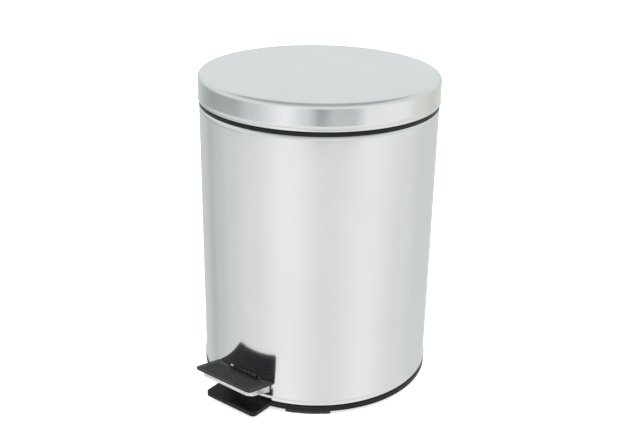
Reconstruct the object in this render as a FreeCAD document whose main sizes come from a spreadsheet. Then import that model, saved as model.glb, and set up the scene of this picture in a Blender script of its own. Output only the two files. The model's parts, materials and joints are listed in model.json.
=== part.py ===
import FreeCAD, Part
import math
import os
import re
import Sketcher

# Pedal bin, 5 litre class: a rolled steel shell on a moulded base, with a steel lid that a foot
# pedal opens through a lever and a push rod, and a lift-out plastic bucket with a wire bail.
# Everything is laid out about the shell's axis (X right, pedal towards -Y, Z up, floor at 0).
# Each finished piece is then moved back, which puts the origin at the middle of the footprint.

DIMENSIONS = [
    # shell and base
    ("shell_radius", 102.5, "outside radius of the shell"),
    ("sheet", 0.5, "thickness of the shell and lid sheet"),
    ("fit_gap", 0.1, "clearance of moulded parts inside the shell"),
    ("screw_radius", 1.25, "shank radius of the screws"),
    ("foot_high", 3.9, "height of the rubber feet"),
    ("base_rim_high", 4.9, "height of the base's visible rim"),
    ("base_rim_radius", 103.2, "radius of the base's visible rim"),
    ("base_floor", 2.0, "thickness of the base's floor"),
    ("shell_top", 250.0, "top edge of the shell"),
    ("bead_rise", 0.4, "plain edge below the rolled bead round the shell's foot"),
    ("bead_high", 4.6, "height of that bead"),
    ("bead_proud", 0.8, "how far that bead stands out"),
    ("seat_top", 36.0, "top of the wall that the bucket stands on"),
    ("seat_radius", 83.0, "outside radius of that wall"),
    ("wall", 2.4, "thickness of moulded walls"),
    ("locate_top", 22.0, "top of the base's wall that locates the shell"),
    ("rib_deep", 1.6, "depth of the ribs under the base"),
    ("rib_reach", 86.0, "outer end of the ribs under the base"),
    ("rib_hub", 18.0, "radius of the ring where those ribs meet"),
    ("way_half", 26.0, "half width of the lever's way through the base's walls"),
    ("rod_way_half", 12.0, "half width of the push rod's way through the seat's wall"),
    ("way_inner", 70.0, "inner end of both ways"),
    ("foot_in", 88.0, "inside radius of the rubber feet"),
    ("foot_out", 101.6, "outside radius of the rubber feet"),
    ("foot_sweep", 22.0, "angle that a rubber foot covers"),
    ("peg_circle", 95.0, "radius at which the feet's pegs stand"),
    ("peg_radius", 2.0, "radius of the feet's pegs"),
    ("peg_high", 1.2, "height of the feet's pegs"),
    # anti-tip tab in front of the base
    ("tab_half", 27.8, "half width of the tab"),
    ("tab_reach", 121.5, "front of the tab, from the axis"),
    ("tab_root", 90.0, "rear end of the tab, inside the base"),
    ("tab_high", 4.3, "thickness of the tab"),
    ("tab_round", 4.0, "corner radius of the tab"),
    ("tab_edge", 0.8, "rounding of the tab's top edge"),
    # top rim and lid
    ("flange_high", 3.4, "height of the top rim's flange"),
    ("leg_deep", 14.0, "depth of the top rim's leg inside the shell"),
    ("rim_thick", 2.0, "thickness of the top rim's upstand"),
    ("rim_setback", 1.6, "how far the upstand stands inside the shell's surface"),
    ("upstand_high", 8.6, "height of the top rim's upstand inside the lid"),
    ("rim_gap_half", 11.0, "half width of the top rim's gap at the hinge"),
    ("lid_gap", 0.5, "gap between the top rim and the lid"),
    ("lid_radius", 103.1, "outside radius of the lid"),
    ("lid_high", 21.9, "height of the lid"),
    ("lid_round", 3.8, "rounding of the lid's top edge"),
    ("hem_high", 2.8, "height of the lid's rolled hem"),
    ("hem_proud", 0.35, "how far the hem stands out"),
    ("bumper_in", 1.4, "bumpers' inner face inside the shell's surface"),
    ("bumper_out", 0.2, "bumpers' outer face inside the shell's surface"),
    ("bumper_gap", 0.1, "clearance of the shut lid over the bumpers"),
    ("bumper_sweep", 5.0, "angle that a bumper covers"),
    # hinge
    ("hinge_y", 109.5, "hinge axis behind the shell's axis"),
    ("hinge_z", 250.0, "hinge axis above the floor"),
    ("hinge_pin", 2.0, "radius of the hinge pin"),
    ("crank", 16.0, "crank radius from hinge axis to push rod pin"),
    ("crank_angle", 40.0, "crank's angle below level with the lid shut"),
    ("arm_x", 5.5, "inner face of the lid's hinge arms"),
    ("arm_thick", 2.0, "thickness of hinge arms and bracket ears"),
    ("ear_x", 9.5, "inner face of the bracket's ears"),
    ("plate", 1.5, "thickness of formed steel plates"),
    ("slot_drop", 16.0, "lower end of the shell's hinge slot below the hinge axis"),
    ("slot_half", 9.0, "half width of that slot"),
    ("seat_gap", 0.05, "clearance between a formed plate and the sheet it is riveted to"),
    ("bracket_plate_half", 20.0, "half width of the hinge bracket's plate"),
    ("bracket_low", 222.0, "lower edge of that plate"),
    ("bracket_high", 247.0, "upper edge of that plate"),
    ("ear_root", 101.0, "root of the bracket's ears, from the shell's axis"),
    ("ear_nose", 105.0, "front of the ears' sloping foot, from the shell's axis"),
    ("ear_foot", 226.0, "foot of the ears"),
    ("ear_back", 246.0, "top of the ears at their root"),
    ("ear_radius", 5.2, "radius of the ears' round ends"),
    ("ear_drop", 4.0, "straight rear edge of the ears below the hinge axis"),
    ("arm_plate_half", 16.0, "half width of the lid arm's plate"),
    ("arm_low", 257.0, "lower edge of that plate"),
    ("arm_high", 272.0, "upper edge of that plate"),
    ("arm_foot", 258.0, "foot of the arms' webs on the plate"),
    ("arm_head", 270.0, "top of the arms' webs on the plate"),
    ("arm_knee", 107.0, "end of the webs' level top, from the shell's axis"),
    ("arm_neck", 4.6, "front of the webs in front of the hinge axis"),
    ("arm_back", 2.0, "straight rear edge of the webs above the hinge axis"),
    ("crank_half", 5.0, "half width of the crank arms"),
    ("crank_play", 0.75, "clearance of the rod's pin in the crank's slot"),
    ("pin_head", 3.4, "radius of the hinge pin's head"),
    ("pin_head_thick", 1.5, "thickness of that head"),
    ("pin_end", 1.8, "hinge pin's end past the ears"),
    ("clip_radius", 4.0, "radius of the hinge pin's clip"),
    ("clip_thick", 0.9, "thickness of the pins' clips"),
    ("washer_radius", 4.4, "radius of the hinge washers"),
    ("washer_play", 0.15, "clearance of a washer beside the lid's arm"),
    ("eye_radius", 6.0, "radius of the eyes round the hinge and pivot pins"),
    ("run_gap", 0.05, "radial clearance of a turning fit"),
    # pedal
    ("tread_half", 31.0, "half width of the tread"),
    ("tread_reach", 130.5, "front of the tread, from the axis"),
    ("tread_top", 35.5, "top of the tread at its front edge"),
    ("tread_edge", 1.8, "thickness of the tread's border"),
    ("tread_border", 4.0, "width of that border"),
    ("tread_thick", 2.9, "thickness of the tread inside its border"),
    ("tread_cover", 2.1, "plastic above the lever in the tread"),
    ("tread_screw_grip", 1.4, "length of the tread screws in the plastic"),
    ("tread_slope", 12.4, "slope of the tread, rising to the front"),
    ("tread_round", 4.0, "front corner radius of the tread"),
    ("grip_rib_wide", 1.3, "width of the tread's cross ribs"),
    ("grip_rib_pitch", 3.6, "spacing of those ribs"),
    ("grip_rib_proud", 0.4, "height of those ribs"),
    ("window_half", 17.0, "half width of the lever's window in the shell"),
    ("window_low", 14.6, "lower edge of that window"),
    ("window_high", 27.8, "upper edge of that window"),
    # lever
    ("pan_half", 28.0, "half width of the lever's pan under the tread"),
    ("pan_deep", 7.6, "foot of the pan's walls below the tread's top in front"),
    ("pan_deep_back", 10.6, "foot of the pan's walls below the tread's top behind"),
    ("pan_gap", 2.2, "pan's clearance in front of the shell"),
    ("pan_corner", 4.0, "front corners cut off the pan"),
    ("lever_setback", 4.0, "lever's front end behind the tread's"),
    ("lever_half", 15.0, "half width of the lever in the window"),
    ("neck_inside", 6.0, "that width's end inside the shell"),
    ("waist_front", 60.0, "front end of the lever's waist, in front of the axis"),
    ("waist_back", 18.0, "rear end of the waist, in front of the axis"),
    ("tail_front", 50.0, "front end of the lever's tail, behind the axis"),
    ("tail_over", 3.6, "lever's end behind the rod's pin"),
    ("knee_inside", 8.0, "lever's bend inside the shell's surface"),
    ("flange_knee", 6.5, "foot of the lever's flanges below the tread's top, at the bend"),
    ("flange_under", 5.6, "foot of the flanges below the pivot axis"),
    ("flange_flat", 12.0, "half length of their level foot under the pivot"),
    ("flange_tail", 3.4, "foot of the flanges below the rod's pin"),
    ("rod_slot_half", 3.0, "half width of the rod's slot in the lever's top"),
    ("rod_slot_front", 6.0, "front end of that slot, in front of the rod's pin"),
    ("tread_screw_x", 8.0, "tread screws beside the middle"),
    ("tread_screw_back", 16.0, "tread screws behind the tread's front"),
    ("lever_waist", 13.5, "half width of the lever at its pivot"),
    ("lever_tail", 7.5, "half width of the lever's rear end"),
    ("pivot_y", 38.0, "pivot axis in front of the shell's axis"),
    ("pivot_z", 20.0, "pivot axis above the floor"),
    ("pivot_pin", 2.5, "radius of the pivot pin"),
    ("cheek_x", 15.5, "inner face of the pivot bracket's cheeks"),
    ("bracket_half", 26.0, "half width of the pivot bracket"),
    ("bracket_deep", 11.0, "half depth of the pivot bracket"),
    ("bracket_screw_x", 21.5, "screws of the pivot bracket beside the middle"),
    ("bush_wall", 1.0, "wall of the pivot bushes"),
    ("lever_top", 25.3, "top of the lever over the pivot"),
    ("lever_swing", 8.75, "full swing of the lever"),
    # push rod
    ("rod_thick", 2.0, "thickness of the push rod strip"),
    ("rod_wide", 7.0, "width of the push rod strip"),
    ("rod_pin", 2.0, "radius of the pins at both ends of the push rod"),
    ("foot_slot_front", 0.35, "clearance of the rod's lower slot in front of its pin"),
    ("foot_slot_back", 0.75, "clearance of that slot behind its pin"),
    ("foot_slot_high", 0.2, "clearance of that slot above and under its pin"),
    ("guide_low", 72.0, "underside of the lower rod guide"),
    ("guide_high", 200.0, "underside of the upper rod guide"),
    ("guide_tall", 14.0, "height of a rod guide"),
    ("guide_half", 8.0, "half width of a rod guide"),
    ("guide_front", 91.0, "front face of a rod guide, from the axis"),
    ("guide_rivet", 1.2, "radius of the rod guides' rivets"),
    ("guide_rivet_x", 5.0, "those rivets beside the middle"),
    ("guide_rivet_deep", 4.5, "bottom of their holes behind the guide's front"),
    ("guide_rivet_head", 0.9, "height of their heads"),
    ("rod_play", 0.3, "clearance of the push rod in its guides"),
    # bucket and bail
    ("bucket_foot", 82.0, "outside radius of the bucket's foot"),
    ("bucket_mouth", 85.5, "outside radius of the bucket's mouth"),
    ("bucket_rim", 87.5, "radius of the bucket's rim"),
    ("bucket_top", 243.5, "top of the bucket's rim"),
    ("bucket_wall", 1.6, "wall of the bucket"),
    ("bucket_rim_deep", 2.6, "height of the bucket's rim"),
    ("bucket_round", 3.0, "rounding of the bucket's foot"),
    ("lug_half", 5.0, "half width of the lugs round the bail's eyes"),
    ("lug_in", 1.4, "root of the lugs inside the mouth's radius"),
    ("lug_top", 1.0, "top of the lugs below the rim's top"),
    ("bail_play", 0.08, "radial clearance of the bail in its eyes"),
    ("bail_end", 1.5, "bail's ends inside the bucket's wall"),
    ("bail_bend", 2.4, "bend radius of the bail wire"),
    ("bail_wire", 1.5, "radius of the bail wire"),
    ("bail_pivot_z", 233.0, "bail pivots above the floor"),
    ("grip_radius", 4.3, "radius of the sleeve on the bail"),
    ("grip_turn", 24.0, "angle from the sleeve's middle to its ends"),
]

doc = FreeCAD.newDocument("pedal_bin")
sheet = doc.addObject("Spreadsheet::Sheet", "Dims")
for row, (alias, size, note) in enumerate(DIMENSIONS, start=1):
    sheet.set(f"A{row}", note)
    sheet.set(f"B{row}", str(size))
    sheet.setAlias(f"B{row}", alias)
doc.recompute()

ALIASES = {alias for alias, size, note in DIMENSIONS}
PIECES = []
AXIS_SETBACK = "(tread_reach - hinge_y - eye_radius) / 2"

TALL = "60"                     # height of the blocks that stand for an outline seen from above
WIDE = "90"                     # width of the slabs that stand for an outline seen from the side
PAST = "30"                     # how far a cutting tool runs each way
LAP = 0.2                       # overlap of the features that are fused into one solid
BEHIND = ("60", "150")          # span along Y that takes in all that stands behind the shell


# ---------------------------------------------------------------- expressions and placing

def bound(text):
    """The expression in FreeCAD's words: every alias becomes a reference to the sheet."""
    return re.sub(r"[a-z_]+", lambda word: "Dims." + word.group() if word.group() in ALIASES
                  else word.group(), str(text))


def value(text):
    """The number that an expression gives now."""
    result = sheet.evalExpression(bound(text))
    return float(getattr(result, "Value", result))


def drive(item, prop, text):
    item.setExpression(prop, bound(text))


def place(item, x="0", y="0", z="0", axis=None, angle=0.0):
    """Put an object at a point given by expressions, turned by an angle about an axis."""
    if axis is not None:
        item.Placement.Rotation = FreeCAD.Rotation(FreeCAD.Vector(*axis), angle)
    for key, text in zip("xyz", (x, y, z)):
        drive(item, f"Placement.Base.{key}", text)
    return item


def swing(item, angle):
    """Turn a finished object about the shell's axis."""
    turned = doc.addObject("Part::Compound", "Turned")
    turned.Links = [item]
    turned.Placement.Rotation = FreeCAD.Rotation(FreeCAD.Vector(0, 0, 1), angle)
    return turned


def piece(item, label):
    """Name a finished object as one of the bin's pieces and move it into the footprint's frame."""
    item.Label = label
    drive(item, "Placement.Base.y", AXIS_SETBACK)
    PIECES.append(item)
    return item


# ---------------------------------------------------------------- primitives and booleans

def box(x0, x1, y0, y1, z0, z1):
    """A box between six expressions."""
    item = doc.addObject("Part::Box", "Box")
    drive(item, "Length", f"({x1}) - ({x0})")
    drive(item, "Width", f"({y1}) - ({y0})")
    drive(item, "Height", f"({z1}) - ({z0})")
    return place(item, x0, y0, z0)


def rod_z(radius, z0, z1, x="0", y="0"):
    """An upright cylinder."""
    item = doc.addObject("Part::Cylinder", "RodZ")
    drive(item, "Radius", radius)
    drive(item, "Height", f"({z1}) - ({z0})")
    return place(item, x, y, z0)


def rod_x(radius, x0, x1, y, z):
    """A cylinder along X."""
    item = doc.addObject("Part::Cylinder", "RodX")
    drive(item, "Radius", radius)
    drive(item, "Height", f"({x1}) - ({x0})")
    return place(item, x0, y, z, axis=(0, 1, 0), angle=90)


def rod_y(radius, y0, y1, x, z):
    """A cylinder along Y."""
    item = doc.addObject("Part::Cylinder", "RodY")
    drive(item, "Radius", radius)
    drive(item, "Height", f"({y1}) - ({y0})")
    return place(item, x, y0, z, axis=(1, 0, 0), angle=-90)


def fuse(*shapes):
    item = doc.addObject("Part::MultiFuse", "Fuse")
    item.Shapes = list(shapes)
    return item


def common(*shapes):
    item = doc.addObject("Part::MultiCommon", "Common")
    item.Shapes = list(shapes)
    return item


def cut(base, *tools):
    item = doc.addObject("Part::Cut", "Cut")
    item.Base = base
    item.Tool = tools[0] if len(tools) == 1 else fuse(*tools)
    return item


def group(*shapes):
    """Separate solids that share one node."""
    item = doc.addObject("Part::Compound", "Group")
    item.Links = list(shapes)
    return item


PIN_CHAMFER = "0.4"


def pin_x(radius, x0, x1, y, z):
    """A pin along X with chamfered ends."""
    tips = []
    start, end = f"({x0}) + {PIN_CHAMFER}", f"({x1}) - {PIN_CHAMFER}"
    for base, turn in ((start, -90), (end, 90)):
        tip = doc.addObject("Part::Cone", "Tip")
        drive(tip, "Radius1", radius)
        drive(tip, "Radius2", f"({radius}) - {PIN_CHAMFER}")
        drive(tip, "Height", PIN_CHAMFER)
        tips.append(place(tip, base, y, z, axis=(0, 1, 0), angle=turn))
    return fuse(rod_x(radius, start, end, y, z), *tips)


def tube_z(outer, inner, z0, z1):
    return cut(rod_z(outer, z0, z1), rod_z(inner, f"({z0}) - 1", f"({z1}) + 1"))


def tube_x(outer, inner, x0, x1, y, z):
    return cut(rod_x(outer, x0, x1, y, z), rod_x(inner, f"({x0}) - 1", f"({x1}) + 1", y, z))


def bead(radius, proud, high, middle):
    """A half-round bead standing out from a wall of the given radius."""
    curve = f"(({high})^2 / 4 + ({proud})^2) / (2 * ({proud}))"
    item = doc.addObject("Part::Torus", "Bead")
    drive(item, "Radius1", f"({radius}) + ({proud}) - {curve}")
    drive(item, "Radius2", curve)
    place(item, z=middle)
    core = rod_z(f"({radius}) - 0.02", f"({middle}) - 2 * ({high})", f"({middle}) + 2 * ({high})")
    return cut(item, core)


# ---------------------------------------------------------------- sketched bodies

def outline(body, plane, points):
    """A closed sketch whose corners are pairs of expressions."""
    sketch = body.newObject("Sketcher::SketchObject", "Sketch")
    support = next(f for f in body.Origin.OriginFeatures if f.Role == plane)
    sketch.AttachmentSupport = (support, [""])
    sketch.MapMode = "FlatFace"
    corners = [FreeCAD.Vector(value(u), value(v), 0) for u, v in points]
    for index, corner in enumerate(corners):
        after = corners[(index + 1) % len(corners)]
        sketch.addGeometry(Part.LineSegment(corner, after), False)
    for index, (u, v) in enumerate(points):
        following = (index + 1) % len(points)
        sketch.addConstraint(Sketcher.Constraint("Coincident", index, 2, following, 1))
        for kind, text, size in (("DistanceX", u, corners[index].x), ("DistanceY", v, corners[index].y)):
            number = sketch.addConstraint(Sketcher.Constraint(kind, -1, 1, index, 1, size))
            drive(sketch, f"Constraints[{number}]", text)
    return sketch


def turned(points, sweep=360.0):
    """A body revolved about the shell's axis from (radius, height) corners."""
    body = doc.addObject("PartDesign::Body", "Turned")
    sketch = outline(body, "XZ_Plane", points)
    feature = body.newObject("PartDesign::Revolution", "Revolution")
    feature.Profile = sketch
    feature.ReferenceAxis = (sketch, ["V_Axis"])
    feature.Midplane = True
    feature.Angle = sweep
    return body


def plate(plane, points, thick, start="0", middle=False):
    """A body padded from an outline; start moves it along the plane's normal."""
    body = doc.addObject("PartDesign::Body", "Plate")
    sketch = outline(body, plane, points)
    feature = body.newObject("PartDesign::Pad", "Pad")
    feature.Profile = sketch
    drive(feature, "Length", thick)
    feature.Midplane = middle
    key = {"XY_Plane": "z", "YZ_Plane": "x"}[plane]
    drive(body, f"Placement.Base.{key}", start)
    return body


def round_edges(body, radius, wanted):
    """Fillet the edges of a body's tip that the test picks by their box."""
    doc.recompute()
    solid = body.Tip
    names = [f"Edge{n}" for n, edge in enumerate(solid.Shape.Edges, start=1) if wanted(edge.BoundBox)]
    feature = body.newObject("PartDesign::Fillet", "Rounding")
    feature.Base = (solid, names)
    drive(feature, "Radius", radius)
    return body


def upright(bounds):
    return bounds.ZLength > 1 and bounds.XLength < 0.01 and bounds.YLength < 0.01


def level_at(height):
    """A test for level edges at one height."""
    return lambda bounds: bounds.ZLength < 0.01 and abs(bounds.ZMin - value(height)) < 0.01


# ---------------------------------------------------------------- shared positions

SHELL_FOOT = "(foot_high + base_rim_high)"
FLOOR_TOP = "(foot_high + base_floor)"
LID_FOOT = "(shell_top + flange_high + lid_gap)"
LID_TOP = "(shell_top + flange_high + lid_gap + lid_high)"
SHELL_INSIDE = "(shell_radius - sheet)"
ROD_Y = "(hinge_y - crank * cos(crank_angle))"
ROD_PIN_HIGH = "(hinge_z - crank * sin(crank_angle))"
REAR_ARM = f"({ROD_Y} + pivot_y)"
ROD_PIN_LOW = f"(pivot_z - {REAR_ARM} * sin(lever_swing / 2))"
EAR_OUT = "(ear_x + arm_thick)"
ARM_OUT = "(arm_x + arm_thick)"


def tread_height(reach):
    """Height of the tread's top at a distance in front of the axis."""
    return f"(tread_top - (tread_reach - ({reach})) * tan(tread_slope))"


# ---------------------------------------------------------------- shell, rim and base

def make_outer_shell():
    tube = tube_z("shell_radius", SHELL_INSIDE, SHELL_FOOT, "shell_top")
    foot_bead = bead("shell_radius", "bead_proud", "bead_high", f"{SHELL_FOOT} + bead_rise + bead_high / 2")
    window = box("-window_half", "window_half", f"-shell_radius - {PAST}", f"-shell_radius + {PAST}",
                 "window_low", "window_high")
    hinge_slot = box("-slot_half", "slot_half", *BEHIND, "hinge_z - slot_drop", f"shell_top + {PAST}")
    holes = [rod_y("guide_rivet", *BEHIND, x, z) for x, z in guide_rivet_places()]
    holes += rivet_holes(BRACKET_RIVETS, BRACKET_SHANK)
    return piece(cut(fuse(tube, foot_bead), window, hinge_slot, *holes), "outer_shell")


def make_top_rim():
    leg_foot = "shell_top - leg_deep"
    flange_top = "shell_top + flange_high"
    upstand_top = f"{flange_top} + upstand_high"
    outside = "shell_radius - rim_setback"
    inside = f"{outside} - rim_thick"
    leg_out = f"{SHELL_INSIDE} - fit_gap"
    ring = turned([
        (inside, leg_foot), (leg_out, leg_foot), (leg_out, "shell_top"), ("shell_radius", "shell_top"),
        ("shell_radius", flange_top), (outside, flange_top), (outside, upstand_top),
        (inside, upstand_top)])
    round_edges(ring, "0.35 * rim_thick", level_at(upstand_top))
    gap = box("-rim_gap_half", "rim_gap_half", *BEHIND, f"{leg_foot} - {PAST}", f"{upstand_top} + {PAST}")
    return piece(cut(ring, gap), "top_rim")


FOOT_ANGLES = (34, 146, 214, 326)      # about Z, measured from the pedal
RIB_ANGLES = tuple(22.5 + 45 * step for step in range(8))
WAY_SKIN = 0.3                         # the ways end this far inside the shell's surface
PAD_ROUND = "0.8"                      # rounding of a foot's lower edges


def make_base_moulding():
    inside = f"{SHELL_INSIDE} - fit_gap"
    under = "foot_high - rib_deep"
    half_rib = "wall / 3"
    dish = turned([
        ("0", "foot_high"), ("base_rim_radius", "foot_high"), ("base_rim_radius", SHELL_FOOT),
        (inside, SHELL_FOOT), (inside, "locate_top"), (f"{inside} - wall", "locate_top"),
        (f"{inside} - wall", FLOOR_TOP), ("seat_radius", FLOOR_TOP), ("seat_radius", "seat_top"),
        ("seat_radius - wall", "seat_top"), ("seat_radius - wall", FLOOR_TOP), ("0", FLOOR_TOP)])
    tab = plate("XY_Plane", [
        ("-tab_half", "-tab_reach"), ("tab_half", "-tab_reach"),
        ("tab_half", "-tab_root"), ("-tab_half", "-tab_root")], "tab_high", start="foot_high")
    round_edges(tab, "tab_round", lambda b: upright(b) and b.YMax < -value("shell_radius"))
    round_edges(tab, "tab_edge", lambda b: level_at("tab_high")(b) and b.YMin < -value("tab_root + wall"))
    rib_top = f"foot_high + {LAP}"
    ribs = [tube_z("rib_hub", f"rib_hub - 2 * {half_rib}", under, rib_top)]
    for angle in RIB_ANGLES:
        rib = box("rib_hub - wall / 3", "rib_reach", f"-{half_rib}", half_rib, under, rib_top)
        ribs.append(swing(rib, angle))
    front_seat = box("-way_half", "way_half", f"-({inside} - wall)", "-way_inner", FLOOR_TOP, TALL)
    front_wall = box("-way_half", "way_half", f"-shell_radius + {WAY_SKIN}", "-tab_root", SHELL_FOOT, TALL)
    rear_way = box("-rod_way_half", "rod_way_half", "way_inner", f"shell_radius - {WAY_SKIN}",
                   FLOOR_TOP, TALL)
    pegs = [swing(rod_z("peg_radius", "0", "foot_high + peg_high", y="-peg_circle"), angle)
            for angle in FOOT_ANGLES]
    holes = [rod_z("screw_radius", "0", FLOOR_TOP, x, y) for x, y in bracket_screw_places()]
    solid = fuse(dish, tab, *ribs)
    return piece(cut(solid, front_seat, front_wall, rear_way, *pegs, *holes), "base_moulding")


def make_feet():
    pads = []
    for angle in FOOT_ANGLES:
        pad = turned([("foot_in", "0"), ("foot_out", "0"), ("foot_out", "foot_high"),
                      ("foot_in", "foot_high")], sweep=value("foot_sweep"))
        round_edges(pad, PAD_ROUND, level_at("0"))
        peg = rod_z("peg_radius", f"foot_high - {LAP}", "foot_high + peg_high", x="peg_circle")
        pads.append(swing(fuse(pad, peg), angle - 90))      # a pad is made about +X
    return piece(group(*pads), "feet")


# ---------------------------------------------------------------- pedal lever and its pivot

SCREW_HOLE = "(screw_radius + 0.25)"


def bracket_screw_places():
    return [(x, y) for x in ("-bracket_screw_x", "bracket_screw_x")
            for y in ("-pivot_y - eye_radius", "-pivot_y + eye_radius")]


def make_fulcrum_bracket():
    seat = f"{FLOOR_TOP} + plate"
    sole = box("-bracket_half", "bracket_half", "-pivot_y - bracket_deep", "-pivot_y + bracket_deep",
               FLOOR_TOP, seat)
    ears = []
    for side in (-1, 1):
        x0, x1 = sorted((side * value("cheek_x"), side * value("cheek_x + plate")))
        ears.append(box(x0, x1, "-pivot_y - eye_radius", "-pivot_y + eye_radius", FLOOR_TOP, "pivot_z"))
        ears.append(rod_x("eye_radius", x0, x1, "-pivot_y", "pivot_z"))
    pin_hole = rod_x("pivot_pin", f"-{PAST}", PAST, "-pivot_y", "pivot_z")
    holes = [rod_z(SCREW_HOLE, "0", TALL, x, y) for x, y in bracket_screw_places()]
    return piece(cut(fuse(sole, *ears), pin_hole, *holes), "fulcrum_bracket")


def make_bracket_screws():
    screws = []
    seat = f"({FLOOR_TOP} + plate)"
    head_radius, head_high, slot_half = "2.8", 1.6, 0.4
    for x, y in bracket_screw_places():
        head = rod_z(head_radius, seat, f"{seat} + {head_high}", x, y)
        shank = rod_z("screw_radius", f"foot_high + {LAP}", f"{seat} + {LAP}", x, y)
        slot = box(f"{x} - {head_radius}", f"{x} + {head_radius}", f"{y} - {slot_half}",
                   f"{y} + {slot_half}", f"{seat} + {head_high / 2}", TALL)
        screws.append(cut(fuse(head, shank), slot))
    return piece(group(*screws), "bracket_screws")


def make_fulcrum_pin():
    half = "(cheek_x + plate + 2 * run_gap + 2.8 * clip_thick)"
    return piece(pin_x("pivot_pin", f"-{half}", half, "-pivot_y", "pivot_z"), "fulcrum_pin")


def make_pin_clips():
    clips = []
    thick, outer, mouth_half = value("clip_thick"), "2 * pivot_pin", 1.6
    for side in (-1, 1):
        near = value("cheek_x + plate + 2 * run_gap")
        x0, x1 = sorted((side * near, side * (near + thick)))
        ring = tube_x(outer, "pivot_pin", x0, x1, "-pivot_y", "pivot_z")
        mouth = box(x0, x1, f"-pivot_y - {mouth_half}", f"-pivot_y + {mouth_half}", "pivot_z", TALL)
        clips.append(cut(ring, mouth))
    return piece(group(*clips), "pin_clips")


def lever_plan(inset, start, thick):
    """The lever's plan: wide under the tread, narrow at the pivot, narrowest at the rod."""
    tip = f"tread_reach - lever_setback - ({inset})"
    pan_back, neck_front = (f"-sqrt((shell_radius + pan_gap)^2 - {half}^2) - ({inset})"
                            for half in ("pan_half", "lever_half"))
    pan, neck, waist, tail = (f"{name} - ({inset})" for name in
                              ("pan_half", "lever_half", "lever_waist", "lever_tail"))
    right = [(f"{pan} - pan_corner", f"-({tip})"), (pan, f"-({tip}) + pan_corner"), (pan, pan_back),
             (neck, neck_front), (neck, "-shell_radius + neck_inside"), (waist, "-waist_front"),
             (waist, "-waist_back"), (tail, "tail_front"), (tail, f"{ROD_Y} + tail_over")]
    left = [(f"-({x})", y) for x, y in reversed(right)]
    return plate("XY_Plane", right + left, thick, start)


def lever_skin():
    """The lever's plan as an upright wall, one plate thick."""
    return cut(lever_plan("0", "0", TALL), lever_plan("plate", f"-{LAP}", f"{TALL} + 2 * {LAP}"))


def make_pedal_lever():
    """A pressed lever: its web with flanges down both sides, widened to a pan under the tread."""
    rear_drop = f"{REAR_ARM} * tan(lever_swing / 2)"
    knee = "shell_radius - knee_inside"
    front = f"tread_reach - lever_setback + {LAP}"
    rear = f"{ROD_Y} + tail_over + {LAP}"
    web_line = [(f"-({front})", f"{tread_height(front)} - tread_cover"),
                (f"-({knee})", f"{tread_height(knee)} - tread_cover"),
                ("-pivot_y", "lever_top"), (rear, f"lever_top - {rear_drop}")]
    under_line = [(y, f"{z} - plate") for y, z in reversed(web_line)]
    flange_line = [(y, f"{z} - {LAP}") for y, z in web_line[1:]]
    flange_line += [(rear, f"{ROD_PIN_LOW} - flange_tail"),
                    ("-pivot_y + flange_flat", "pivot_z - flange_under"),
                    ("-pivot_y - flange_flat", "pivot_z - flange_under"),
                    (f"-({knee})", f"{tread_height(knee)} - flange_knee")]
    pan_line = [(f"-({reach})", f"{tread_height(reach)} - {drop}") for reach, drop in
                ((front, f"(tread_cover + {LAP})"), (knee, f"(tread_cover + {LAP})"),
                 (knee, "pan_deep_back"), (front, "pan_deep"))]
    web, flange, pan_walls = (plate("YZ_Plane", line, WIDE, middle=True)
                              for line in (web_line + under_line, flange_line, pan_line))
    pan = cut(common(pan_walls, lever_skin()), rod_z("shell_radius + pan_gap", "0", TALL))
    body = fuse(common(web, lever_plan("0", "0", TALL)), common(flange, lever_skin()), pan)
    rod_slot = box("-rod_slot_half", "rod_slot_half", f"{ROD_Y} - rod_slot_front", BEHIND[1], "0", TALL)
    tail_open = box("-(lever_tail - plate)", "lever_tail - plate", f"{ROD_Y} - rod_slot_half",
                    BEHIND[1], "0", TALL)
    pivot_hole = rod_x("pivot_pin + bush_wall", f"-{PAST}", PAST, "-pivot_y", "pivot_z")
    rod_hole = rod_x("rod_pin", f"-{PAST}", PAST, ROD_Y, ROD_PIN_LOW)
    screw_holes = [tread_screw_part(SCREW_HOLE, "-2 * plate", "plate", x) for x in TREAD_SCREW_X]
    return piece(cut(body, rod_slot, tail_open, pivot_hole, rod_hole, *screw_holes), "pedal_lever")


TREAD_SCREW_X = ("-tread_screw_x", "tread_screw_x")


def tread_screw_part(radius, low, high, x):
    """A cylinder square to the tread, from low to high, measured from the lever's top face."""
    item = doc.addObject("Part::Cylinder", "ScrewPart")
    drive(item, "Radius", radius)
    drive(item, "Height", f"({high}) - ({low})")
    reach = "(tread_reach - tread_screw_back)"
    item.Placement.Rotation = FreeCAD.Rotation(FreeCAD.Vector(1, 0, 0), -value("tread_slope"))
    return place_along(item, x, reach, low)


def place_along(item, x, reach, rise):
    """Place on the lever's sloping top face, raised square to it."""
    drive(item, "Placement.Base.x", x)
    drive(item, "Placement.Base.y", f"-{reach} + ({rise}) * sin(tread_slope)")
    drive(item, "Placement.Base.z",
          f"{tread_height(reach)} - tread_cover + ({rise}) * cos(tread_slope)")
    return item


def tread_slab(top_drop, under_drop):
    """A sloping slab parallel to the tread's top, between two depths below it."""
    near, far = f"tread_reach + {PAST}", "way_inner"
    corners = [(near, top_drop), (far, top_drop), (far, under_drop), (near, under_drop)]
    return plate("YZ_Plane", [(f"-({reach})", f"{tread_height(reach)} - ({drop})")
                              for reach, drop in corners], WIDE, middle=True)


def tread_plan(inset):
    """The tread seen from above, as a tall block."""
    half, front = f"tread_half - ({inset})", f"tread_reach - ({inset})"
    block = plate("XY_Plane", [(f"-({half})", f"-({front})"), (half, f"-({front})"),
                               (half, "-way_inner"), (f"-({half})", "-way_inner")], TALL)
    return round_edges(block, "tread_round", lambda b: upright(b) and b.YMax < -value("shell_radius"))


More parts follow.
